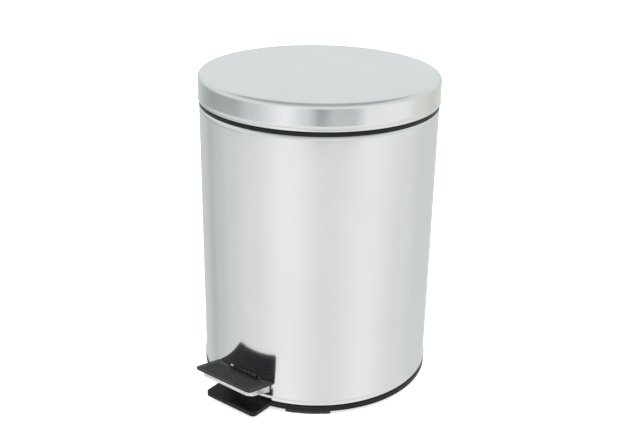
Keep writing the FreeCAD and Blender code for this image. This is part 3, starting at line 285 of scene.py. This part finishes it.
class Finish:
    """A Principled material with procedural variation in the object's own coordinates.

    The colour and the roughness that it starts with are their averages; nodes vary both.
    """

    def __init__(self, name, colour, metallic, roughness, **constants):
        self.material = bpy.data.materials.new(name)
        self.material.use_nodes = True
        self.tree = self.material.node_tree
        self.shader = self.tree.nodes["Principled BSDF"]
        self.shader.inputs["Base Color"].default_value = (*colour, 1)
        self.shader.inputs["Metallic"].default_value = metallic
        self.shader.inputs["Roughness"].default_value = roughness
        for socket, number in constants.items():
            self.shader.inputs[socket.replace("_", " ")].default_value = number
        place = self.tree.nodes.new("ShaderNodeTexCoord")
        centred = self.add("ShaderNodeVectorMath", operation="SUBTRACT")
        centred.inputs[1].default_value = (0, AXIS_Y, 0)
        self.tree.links.new(place.outputs["Object"], centred.inputs[0])
        self.place = centred.outputs[0]
        self.relief = None

    def add(self, kind, **settings):
        node = self.tree.nodes.new(kind)
        for key, setting in settings.items():
            setattr(node, key, setting)
        return node

    def noise(self, size, detail, vector=None, stretch=(1, 1, 1)):
        """Cloudy noise whose blotches are about the given size in metres."""
        scaled = self.add("ShaderNodeMapping")
        scaled.inputs["Scale"].default_value = [1 / (size * part) for part in stretch]
        node = self.add("ShaderNodeTexNoise")
        node.inputs["Scale"].default_value = 1.0
        node.inputs["Detail"].default_value = detail
        self.tree.links.new(vector or self.place, scaled.inputs["Vector"])
        self.tree.links.new(scaled.outputs[0], node.inputs["Vector"])
        return node.outputs["Fac"]

    def cells(self, size):
        """Voronoi cells, for moulded grain and zinc spangle."""
        node = self.add("ShaderNodeTexVoronoi")
        node.inputs["Scale"].default_value = 1 / size
        self.tree.links.new(self.place, node.inputs["Vector"])
        return node

    def spun(self):
        """Coordinates of (distance from the axis, height), for lines that run round the bin."""
        parts = self.add("ShaderNodeSeparateXYZ")
        self.tree.links.new(self.place, parts.inputs[0])
        level = self.add("ShaderNodeCombineXYZ")
        self.tree.links.new(parts.outputs["X"], level.inputs["X"])
        self.tree.links.new(parts.outputs["Y"], level.inputs["Y"])
        reach = self.add("ShaderNodeVectorMath", operation="LENGTH")
        self.tree.links.new(level.outputs[0], reach.inputs[0])
        profile = self.add("ShaderNodeCombineXYZ")
        self.tree.links.new(reach.outputs["Value"], profile.inputs["X"])
        self.tree.links.new(parts.outputs["Z"], profile.inputs["Z"])
        return profile.outputs[0]

    def between(self, fac, low, high):
        """Maps a noise to the range between two numbers."""
        node = self.add("ShaderNodeMapRange")
        node.inputs["From Min"].default_value = NOISE_LOW
        node.inputs["From Max"].default_value = NOISE_HIGH
        node.inputs["To Min"].default_value = low
        node.inputs["To Max"].default_value = high
        self.tree.links.new(fac, node.inputs["Value"])
        return node.outputs[0]

    def colour(self, fac, low, high):
        ramp = self.add("ShaderNodeValToRGB")
        ramp.color_ramp.elements[0].position = NOISE_LOW
        ramp.color_ramp.elements[0].color = (*low, 1)
        ramp.color_ramp.elements[1].position = NOISE_HIGH
        ramp.color_ramp.elements[1].color = (*high, 1)
        self.tree.links.new(fac, ramp.inputs["Fac"])
        self.tree.links.new(ramp.outputs["Color"], self.shader.inputs["Base Color"])
        return self

    def roughness(self, fac, low, high):
        self.tree.links.new(self.between(fac, low, high), self.shader.inputs["Roughness"])
        return self

    def bump(self, fac, height):
        """Relief of the given height in metres; several are stacked."""
        node = self.add("ShaderNodeBump")
        node.inputs["Distance"].default_value = height
        node.inputs["Strength"].default_value = 1.0
        self.tree.links.new(fac, node.inputs["Height"])
        if self.relief is not None:
            self.tree.links.new(self.relief, node.inputs["Normal"])
        self.relief = node.outputs["Normal"]
        self.tree.links.new(self.relief, self.shader.inputs["Normal"])
        return self


def polished_steel():
    """Bright rolled sheet: faint polishing lines round the bin, and slow waves in the sheet."""
    steel = Finish("polished_steel", colour=(0.735, 0.735, 0.73), metallic=1, roughness=0.1)
    lines = steel.noise(size=0.35 * MM, detail=3, vector=steel.spun())
    smudges = steel.noise(size=45 * MM, detail=3)
    clouds = steel.noise(size=30 * MM, detail=4, stretch=(1, 1, 2))
    steel.colour(clouds, low=(0.722, 0.723, 0.718), high=(0.748, 0.748, 0.742))
    mixed = steel.add("ShaderNodeMix", data_type="FLOAT")
    mixed.inputs["Factor"].default_value = 0.5
    steel.tree.links.new(lines, mixed.inputs[NUMBER_A])
    steel.tree.links.new(smudges, mixed.inputs[NUMBER_B])
    steel.roughness(mixed.outputs[0], low=0.085, high=0.15)
    steel.bump(steel.noise(size=60 * MM, detail=1, stretch=(1, 1, 3)), height=0.05 * MM)
    steel.bump(lines, height=0.0004 * MM)
    return steel.material


def zinc_steel():
    """Zinc plated pressings, with a faint spangle."""
    zinc = Finish("zinc_steel", colour=(0.74, 0.74, 0.735), metallic=1, roughness=0.26)
    spangle = zinc.cells(size=2.2 * MM).outputs["Color"]
    zinc.colour(spangle, low=(0.69, 0.69, 0.69), high=(0.80, 0.797, 0.785))
    zinc.roughness(zinc.noise(size=3 * MM, detail=3), low=0.20, high=0.32)
    zinc.bump(zinc.noise(size=0.5 * MM, detail=2), height=0.01 * MM)
    return zinc.material


def black_steel():
    """Stoved black enamel on the hinge, with a light orange peel."""
    enamel = Finish("black_steel", colour=(0.014, 0.014, 0.015), metallic=0, roughness=0.3)
    enamel.colour(enamel.noise(size=12 * MM, detail=3), low=(0.011, 0.011, 0.012), high=(0.02, 0.02, 0.021))
    enamel.roughness(enamel.noise(size=6 * MM, detail=3), low=0.24, high=0.36)
    enamel.bump(enamel.noise(size=1.4 * MM, detail=1), height=0.02 * MM)
    return enamel.material


def moulded(name, low, high, rough, grain, depth, gloss=0.5):
    """Injection-moulded plastic with a spark-eroded grain and slightly uneven gloss."""
    plastic = Finish(name, colour=high, metallic=0, roughness=rough, Specular_IOR_Level=gloss)
    plastic.colour(plastic.noise(size=8 * MM, detail=4), low, high)
    plastic.roughness(plastic.noise(size=5 * MM, detail=4), low=rough - 0.05, high=rough + 0.07)
    plastic.bump(plastic.cells(size=grain).outputs["Distance"], height=depth)
    plastic.bump(plastic.noise(size=0.4 * grain, detail=2), height=0.4 * depth)
    return plastic.material


def rubber():
    """Matt black rubber with a fine grain."""
    pad = Finish("rubber", colour=(0.018, 0.018, 0.018), metallic=0, roughness=0.7)
    pad.colour(pad.noise(size=3 * MM, detail=4), low=(0.013, 0.013, 0.013), high=(0.026, 0.026, 0.025))
    pad.roughness(pad.noise(size=1.5 * MM, detail=3), low=0.62, high=0.8)
    pad.bump(pad.noise(size=0.35 * MM, detail=3), height=0.03 * MM)
    return pad.material


def make_finishes():
    return {
        "polished_steel": polished_steel(),
        "zinc_steel": zinc_steel(),
        "black_steel": black_steel(),
        "black_plastic": moulded("black_plastic", low=(0.003, 0.003, 0.0032), high=(0.006, 0.006, 0.0065),
                                 rough=0.42, grain=0.5 * MM, depth=0.02 * MM, gloss=0.25),
        "tread_plastic": moulded("tread_plastic", low=(0.008, 0.008, 0.009), high=(0.014, 0.014, 0.016),
                                 rough=0.34, grain=0.45 * MM, depth=0.02 * MM, gloss=0.4),
        "bucket_plastic": moulded("bucket_plastic", low=(0.026, 0.026, 0.028), high=(0.036, 0.036, 0.039),
                                  rough=0.42, grain=0.7 * MM, depth=0.025 * MM),
        "nylon": moulded("nylon", low=(0.66, 0.63, 0.56), high=(0.74, 0.72, 0.66),
                         rough=0.4, grain=0.6 * MM, depth=0.01 * MM),
        "rubber": rubber(),
    }


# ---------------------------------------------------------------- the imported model's own nodes

EDGE_ROUNDING = 0.22 * MM
FINE_ROUNDING = 0.12 * MM
HEAD_ROUNDING = 0.42 * MM
FINE_NODES = ("pedal_tread", "pin_clips", "hinge_pin_clip", "hinge_washers", "lid_bumpers")
HEADED_NODES = ("bracket_rivets", "lid_rivets", "guide_rivets", "tread_screws")
ROUND_NODES = ("feet", "bail_wire", "bail_grip")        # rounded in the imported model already
WELD_REACH = 0.002 * MM
FLAT_ANGLE = math.radians(0.5)        # faces as flat to each other as this are merged
SHARP_ANGLE = math.radians(40)        # edges sharper than this are rounded
LARGE_FACE_WEIGHT = 80


def soften_edges(node, width, segments):
    """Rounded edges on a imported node, as modifiers: its own mesh stays as it is."""
    node.data.shade_smooth()
    weld = node.modifiers.new("weld", "WELD")
    weld.merge_threshold = WELD_REACH
    merge = node.modifiers.new("merge", "DECIMATE")
    merge.decimate_type = "DISSOLVE"
    merge.angle_limit = FLAT_ANGLE
    bevel = node.modifiers.new("bevel", "BEVEL")
    bevel.width = width
    bevel.segments = segments
    bevel.limit_method = "ANGLE"
    bevel.angle_limit = SHARP_ANGLE
    bevel.use_clamp_overlap = False
    bevel.miter_outer = "MITER_ARC"
    normals = node.modifiers.new("normals", "WEIGHTED_NORMAL")
    normals.keep_sharp = False
    normals.weight = LARGE_FACE_WEIGHT


def dress_cad_nodes(finishes):
    for name, node in NODES.items():
        for place in node.material_slots:
            place.link = "OBJECT"
            place.material = finishes[SLOT_OF[name]]
        if name in HEADED_NODES:
            soften_edges(node, HEAD_ROUNDING, segments=4)
        elif name not in ROUND_NODES:
            soften_edges(node, FINE_ROUNDING if name in FINE_NODES else EDGE_ROUNDING, segments=2)


# ---------------------------------------------------------------- sheet steel, rim and bucket

ON_AXIS = 1e-9                        # a smaller radius than this is a point on the axis
TRACE = 0.1 * MM                      # the smallest chamfers and fits


def revolved(profile, columns):
    """An open (r, z) profile turned about the bin's axis; points at r = 0 become one vertex."""
    bm = bmesh.new()
    rings = []
    for radius, height in profile:
        if radius < ON_AXIS:
            rings.append([bm.verts.new((0, AXIS_Y, height))] * columns)
            continue
        rings.append([bm.verts.new((radius * math.sin(turn), AXIS_Y - radius * math.cos(turn), height))
                      for turn in (math.tau * index / columns for index in range(columns))])
    for below, above in zip(rings, rings[1:]):
        for index in range(columns):
            after = (index + 1) % columns
            corners = [below[index], below[after], above[after], above[index]]
            unique = list(dict.fromkeys(corners))
            if len(unique) > 2:
                bm.faces.new(unique)
    return bm


def finish_piece(piece, body, node, finishes):
    piece.data.materials.append(finishes[SLOT_OF[node]])
    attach(piece, body)
    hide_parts(node)
    return piece


SHELL_FOOT = SHELL_LOW.z
BEAD_RISE = 0.4 * MM                  # plain edge under the bead
BEAD_HIGH = 4.6 * MM
BEAD_PROUD = SHELL_HIGH.x - SHELL_RADIUS
WINDOW_HALF = 17 * MM                 # the lever's window in front
WINDOW_LOW, WINDOW_HIGH = 14.6 * MM, 27.8 * MM
SLOT_HALF = 9 * MM                    # the hinge's slot behind
SLOT_LOW = 234 * MM
SEAM_HALF = 0.9 * MM                  # the weld that closes the rolled sheet, behind
SEAM_PROUD = 0.10 * MM
BEAD_STEP, FOOT_STEP, WINDOW_STEP = 0.35 * MM, 0.4 * MM, 3.5 * MM     # between the mesh's rows
WALL_STEP, SLOT_STEP = 6 * MM, 4 * MM
COLUMN_STEP = math.radians(1.0)


def bead_swell(height):
    """How far the shell's foot bead stands out at a height."""
    curve = (BEAD_HIGH ** 2 / 4 + BEAD_PROUD ** 2) / (2 * BEAD_PROUD)
    offset = height - (SHELL_FOOT + BEAD_RISE + BEAD_HIGH / 2)
    if abs(offset) >= BEAD_HIGH / 2:
        return 0.0
    return BEAD_PROUD - curve + math.sqrt(curve ** 2 - offset ** 2)


def make_shell(finishes):
    """The rolled and welded steel shell, as one thick sheet with its window and hinge slot."""
    top = SHELL_HIGH.z
    bead_foot = SHELL_FOOT + BEAD_RISE
    bead_top = bead_foot + BEAD_HIGH
    rows = [SHELL_FOOT, bead_foot, *spread(bead_foot, bead_top, BEAD_STEP),
            bead_top, *spread(bead_top, WINDOW_LOW, FOOT_STEP),
            WINDOW_LOW, *spread(WINDOW_LOW, WINDOW_HIGH, WINDOW_STEP),
            WINDOW_HIGH, *spread(WINDOW_HIGH, SLOT_LOW, WALL_STEP),
            SLOT_LOW, *spread(SLOT_LOW, top, SLOT_STEP), top]
    window_turn = math.asin(WINDOW_HALF / SHELL_RADIUS)
    slot_turn = math.asin(SLOT_HALF / SHELL_RADIUS)
    seam_turn = SEAM_HALF / SHELL_RADIUS
    slot_side, seam_side = math.pi - slot_turn, math.pi - seam_turn
    half = [0.0, *spread(0, window_turn, COLUMN_STEP),
            window_turn, *spread(window_turn, slot_side, COLUMN_STEP),
            slot_side, *spread(slot_side, seam_side, COLUMN_STEP), seam_side, math.pi - seam_turn / 2]
    columns = half + [math.pi] + [math.tau - turn for turn in reversed(half[1:])]

    bm = bmesh.new()
    grid = []
    for height in rows:
        ring = []
        for turn in columns:
            seam = max(0.0, 1 - abs(turn - math.pi) / seam_turn) if bead_top < height < SLOT_LOW else 0.0
            radius = SHELL_RADIUS + bead_swell(height) + SEAM_PROUD * math.sqrt(seam)
            ring.append(bm.verts.new((radius * math.sin(turn), AXIS_Y - radius * math.cos(turn), height)))
        grid.append(ring)
    for row, (low, high) in enumerate(zip(rows, rows[1:])):
        level = (low + high) / 2
        for index, turn in enumerate(columns):
            after = (index + 1) % len(columns)
            middle = turn + ((columns[after] - turn) % math.tau) / 2
            from_front = min(middle, math.tau - middle)
            in_window = from_front < window_turn and WINDOW_LOW < level < WINDOW_HIGH
            in_slot = math.pi - from_front < slot_turn and level > SLOT_LOW
            if not in_window and not in_slot:
                bm.faces.new([grid[row][index], grid[row][after], grid[row + 1][after],
                              grid[row + 1][index]])
    bmesh.ops.delete(bm, geom=[v for v in bm.verts if not v.link_faces], context="VERTS")
    shell = add_object("steel_shell", bm)
    thick = shell.modifiers.new("sheet", "SOLIDIFY")
    thick.thickness = SHEET
    thick.offset = -1
    return finish_piece(shell, "casing", "outer_shell", finishes)


LID_RADIUS = 103.1 * MM
LID_ROUND = 3.8 * MM
HEM_HIGH = 2.8 * MM
HEM_START, HEM_SWELL = 0.25 * MM, 0.35 * MM     # over and under the hem's top
HEM_SWELL_SHARE = 0.8                 # how far out the hem is by then
HEM_ROLL = 0.9 * MM                   # rounding under the hem
HEM_INNER_ROUND = 0.2 * MM
LID_STEP, SKIRT_STEP = 12 * MM, 2.5 * MM
LID_COLUMNS = 360


def make_lid(finishes):
    """The pressed lid: flat top, rounded shoulder, plain skirt and a hem rolled inwards."""
    foot, top = LID_LOW.z, LID_HIGH.z
    hem_top = foot + HEM_HIGH
    hem_proud = LID_HIGH.x - LID_RADIUS
    hem_inside = LID_RADIUS - 2 * SHEET
    shoulder_r, shoulder_z = LID_RADIUS - LID_ROUND, top - LID_ROUND
    flat = [(0, top)] + [(radius, top) for radius in spread(0, shoulder_r, LID_STEP)]
    shoulder = arc(shoulder_r, shoulder_z, LID_ROUND, 90, 0, steps=12)
    skirt = [(LID_RADIUS, height) for height in spread(shoulder_z, hem_top + HEM_START, SKIRT_STEP)]
    hem = [(LID_RADIUS, hem_top + HEM_START), (LID_RADIUS + TRACE, hem_top),
           (LID_RADIUS + HEM_SWELL_SHARE * hem_proud, hem_top - HEM_SWELL),
           (LID_RADIUS + hem_proud, hem_top - HEM_ROLL),
           *arc(LID_RADIUS + hem_proud - HEM_ROLL, foot + HEM_ROLL, HEM_ROLL, 0, -90, steps=6),
           (hem_inside + HEM_INNER_ROUND, foot), (hem_inside, foot + HEM_INNER_ROUND),
           (hem_inside, hem_top - TRACE), (hem_inside + TRACE, hem_top), (LID_RADIUS - SHEET, hem_top)]
    inner_skirt = [(LID_RADIUS - SHEET, height) for height in spread(hem_top, shoulder_z, SKIRT_STEP)]
    inner_shoulder = arc(shoulder_r, shoulder_z, LID_ROUND - SHEET, 0, 90, steps=10)
    inner_flat = [(radius, top - SHEET) for radius in spread(shoulder_r, 0, LID_STEP)] + [(0, top - SHEET)]
    profile = flat + shoulder + skirt + hem + inner_skirt + inner_shoulder + inner_flat
    lid = add_object("steel_lid", revolved(profile, LID_COLUMNS))
    return finish_piece(lid, "lid", "lid_shell", finishes)


RIM_GAP_HALF = 11 * MM                # half width of the rim's gap at the hinge
RIM_THICK = 2.0 * MM
RIM_SETBACK = 1.6 * MM
FLANGE_HIGH = 3.4 * MM
RIM_SOFT, RIM_TIP = 0.45 * MM, 0.7 * MM     # rounding of the flange and foot, and of the top
RIM_FILLET = 0.3 * MM
RIM_STATIONS = 300


def make_rim(finishes):
    """The moulded ring between shell and lid, open at the hinge, with softly rounded edges."""
    leg_out = SHELL_RADIUS - SHEET - TRACE
    upstand = SHELL_RADIUS - RIM_SETBACK
    inside = upstand - RIM_THICK
    foot, top, shell_top = RIM_LOW.z, RIM_HIGH.z, SHELL_HIGH.z
    flange = shell_top + FLANGE_HIGH
    profile = [(inside, foot + RIM_SOFT),
               *arc(inside + RIM_SOFT, foot + RIM_SOFT, RIM_SOFT, 180, 270, steps=3)[1:],
               *arc(leg_out - RIM_SOFT, foot + RIM_SOFT, RIM_SOFT, -90, 0, steps=3),
               (leg_out, shell_top), (SHELL_RADIUS - TRACE, shell_top), (SHELL_RADIUS, shell_top + TRACE),
               *arc(SHELL_RADIUS - RIM_SOFT, flange - RIM_SOFT, RIM_SOFT, 0, 90, steps=4),
               (upstand + RIM_FILLET, flange), (upstand, flange + RIM_FILLET),
               *arc(upstand - RIM_TIP, top - RIM_TIP, RIM_TIP, 0, 90, steps=4),
               *arc(inside + RIM_TIP, top - RIM_TIP, RIM_TIP, 90, 180, steps=4)]
    bm = bmesh.new()
    stations = []
    for index in range(RIM_STATIONS + 1):
        share = 2 * index / RIM_STATIONS - 1
        station = []
        for radius, height in profile:
            turn = share * (math.pi - math.asin(RIM_GAP_HALF / radius))
            station.append(bm.verts.new((radius * math.sin(turn), AXIS_Y - radius * math.cos(turn), height)))
        stations.append(station)
    for near, far in zip(stations, stations[1:]):
        for index in range(len(profile)):
            bm.faces.new([near[index - 1], near[index], far[index], far[index - 1]])
    bm.faces.new(stations[0])
    bm.faces.new(stations[-1])
    rim = add_object("moulded_rim", bm)
    return finish_piece(rim, "casing", "top_rim", finishes)


BUCKET_WALL = 1.6 * MM
FLOOR_THICK, FLOOR_DISH = 1.6 * MM, 0.4 * MM    # the bucket's floor, and how much thinner its middle is
RIM_DEEP = 2.6 * MM
FOOT_INSET, MOUTH_INSET = 5.5 * MM, 2.0 * MM    # the wall's foot and mouth, inside the rim
FOOT_RING, FOOT_RING_DEEP = 8 * MM, 0.8 * MM
FOOT_ROUND, FLOOR_ROUND = 3 * MM, 4 * MM
STEP_DOWN, STEP_HIGH, STEP_IN = 22 * MM, 2 * MM, 0.5 * MM     # the step under the mouth
LIP_ROUND, LIP_INNER_ROUND, LIP_CHAMFER = 1.2 * MM, 0.8 * MM, 0.4 * MM
FLOOR_DISH_INSET, FLOOR_MIDDLE = 12 * MM, 30 * MM
SLOPE = 1 * MM                        # width of the short slopes between two levels
INNER_TOP_GAP, INNER_FOOT_GAP = 2 * MM, 6 * MM      # where the wall's rows inside stop
BUCKET_STEP = 12 * MM
BUCKET_COLUMNS = 192


def make_bucket(finishes):
    """The moulded inner bucket: drafted wall, foot ring, step under the mouth and rounded rim."""
    foot, top, rim = BUCKET_LOW.z, BUCKET_HIGH.z, BUCKET_HIGH.x
    foot_r = rim - FOOT_INSET
    mouth_r = rim - MOUTH_INSET

    def wall(height):
        return foot_r + (mouth_r - foot_r) * (height - foot) / (top - RIM_DEEP - foot)

    step_low, step_high = top - STEP_DOWN, top - STEP_DOWN + STEP_HIGH
    wall_foot = foot + FOOT_ROUND + SLOPE
    outside = [(0, foot + FOOT_RING_DEEP), (foot_r - FOOT_RING - SLOPE, foot + FOOT_RING_DEEP),
               (foot_r - FOOT_RING, foot),
               *arc(foot_r - FOOT_ROUND, foot + FOOT_ROUND, FOOT_ROUND, -90, 0, steps=6)]
    outside += [(wall(height) - STEP_IN, height) for height in spread(wall_foot, step_low, BUCKET_STEP)]
    outside += [(wall(step_low) - STEP_IN, step_low), (wall(step_high), step_high),
                (mouth_r, top - RIM_DEEP)]
    lip_r = mouth_r - BUCKET_WALL + LIP_INNER_ROUND
    lip = [(rim - LIP_CHAMFER, top - RIM_DEEP), (rim, top - RIM_DEEP + LIP_CHAMFER),
           *arc(rim - LIP_ROUND, top - LIP_ROUND, LIP_ROUND, 0, 90, steps=5),
           *arc(lip_r, top - LIP_INNER_ROUND, LIP_INNER_ROUND, 90, 180, steps=4)]
    inner_top, inner_foot = top - INNER_TOP_GAP, foot + INNER_FOOT_GAP
    inside = [(wall(height) - BUCKET_WALL, height) for height in spread(inner_top, inner_foot, BUCKET_STEP)]
    floor_r, floor_z = foot_r - BUCKET_WALL - FLOOR_ROUND, foot + FLOOR_THICK
    dish_r, dish_z = floor_r - FLOOR_DISH_INSET, floor_z - FLOOR_DISH
    inside += [*arc(floor_r, floor_z + FLOOR_ROUND, FLOOR_ROUND, 0, -90, steps=6), (dish_r, floor_z),
               (dish_r - SLOPE, dish_z), (FLOOR_MIDDLE, dish_z), (0, dish_z)]
    bm = revolved(outside + lip + inside, BUCKET_COLUMNS)
    for side in (-1, 1):
        add_lug(bm, side, mouth_r, rim, top)
    bucket = add_object("bucket", bm)
    return finish_piece(bucket, "bucket", "inner_bucket", finishes)


LUG_HALF = 5 * MM                     # half the boss's width, and the radius of its arch
LUG_LOW, LUG_HIGH = 15.5 * MM, 2.5 * MM     # drops from the bucket's top: its lower guide and its top edge
LUG_ROOT, LUG_SHY = 0.9 * MM, 0.1 * MM      # how deep it starts in the wall, and stops short of the rim
LUG_EDGE, LUG_SHRINK = 0.4 * MM, 0.93       # its face is a little smaller than its root
LUG_ARC = 10


def add_lug(bm, side, mouth_r, rim, top):
    """A boss outside the bucket's wall, arched over the bail's eye."""
    inner, outer = mouth_r - LUG_ROOT, rim - LUG_SHY
    turns = [math.pi * step / LUG_ARC for step in range(LUG_ARC + 1)]
    leg = LUG_LOW - LUG_HALF
    face = [(-LUG_HALF, LUG_HIGH), (LUG_HALF, LUG_HIGH)]
    face += [(LUG_HALF * math.cos(turn), leg - LUG_HALF * math.sin(turn)) for turn in turns]
    middle = LUG_LOW / 2
    rings = [[bm.verts.new((side * reach, AXIS_Y + y * shrink, top - middle + (middle - drop) * shrink))
              for y, drop in face]
             for reach, shrink in ((inner, 1), (outer - LUG_EDGE, 1), (outer, LUG_SHRINK))]
    for near, far in zip(rings, rings[1:]):
        for index in range(len(face)):
            after = (index + 1) % len(face)
            bm.faces.new([near[index], near[after], far[after], far[index]])
    bm.faces.new(rings[0])
    bm.faces.new(rings[-1])


# ---------------------------------------------------------------- the scene

add_camera()
add_stage()
add_light()
FINISHES = make_finishes()
dress_cad_nodes(FINISHES)
make_shell(FINISHES)
make_lid(FINISHES)
make_rim(FINISHES)
make_bucket(FINISHES)
